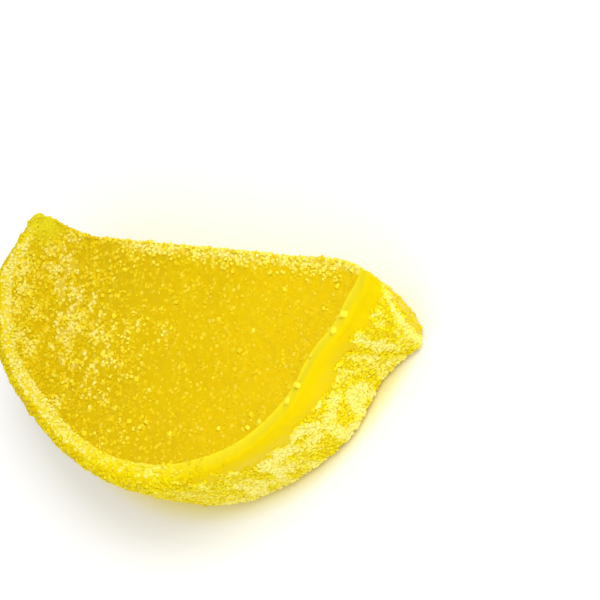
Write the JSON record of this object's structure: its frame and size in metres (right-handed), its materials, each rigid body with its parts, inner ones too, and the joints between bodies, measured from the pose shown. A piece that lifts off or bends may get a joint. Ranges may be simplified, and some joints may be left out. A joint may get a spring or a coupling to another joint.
{
  "type": "fruit slice candy",
  "caption": "Half-moon jelly sweet lying on its back: clear centre, thin pale layer and bright outer layer round the arc, coated all over in sugar crystals.",
  "frame": {"origin": "on the surface that the slice lies on, under the middle of its box", "axes": "+X along the straight cut side, -Y towards the round side, +Z out of the shown cut face"},
  "size_m": [0.0486, 0.0264, 0.011],
  "materials": {
    "centre_jelly": "clear amber-yellow set jelly, satin, lightly sugared",
    "pale_jelly": "cloudy pale yellow set jelly, sugared",
    "outer_jelly": "bright lemon-yellow set jelly, sugared",
    "sugar": "clear to white sugar crystals"
  },
  "bodies": {
    "root": {"centre_jelly": "centre_jelly", "pale_layer": "pale_jelly", "outer_layer": "outer_jelly"}
  },
  "joints": []
}
